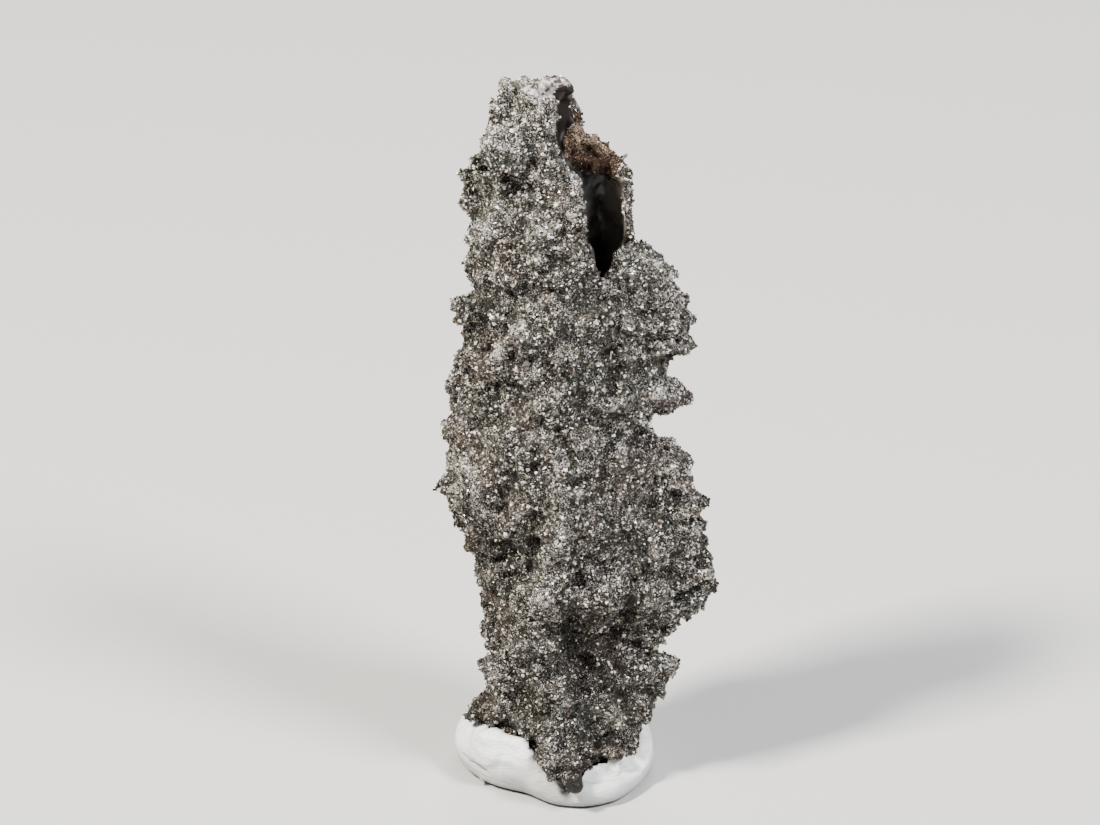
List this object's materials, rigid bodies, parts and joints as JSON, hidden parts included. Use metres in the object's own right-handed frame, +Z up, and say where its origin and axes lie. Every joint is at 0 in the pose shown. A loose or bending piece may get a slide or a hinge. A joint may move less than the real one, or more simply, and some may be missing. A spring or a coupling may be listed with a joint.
{
  "type": "fulgurite",
  "caption": "Tube of sand fused by lightning, knobbly and winged, broken open near its top to show the bore, standing in a pad of mounting putty.",
  "frame": {"origin": "middle of the flat underside of the putty pad", "axes": "+Z up along the tube, +X to the right as seen from the front, +Y away from the front"},
  "size_m": [0.0229, 0.0143, 0.0618],
  "materials": {
    "fused_sand": "rough crust of sand grains",
    "putty": "satin, soft creases"
  },
  "bodies": {
    "root": {"fulgurite": "fused_sand", "putty_pad": "putty"}
  },
  "joints": []
}
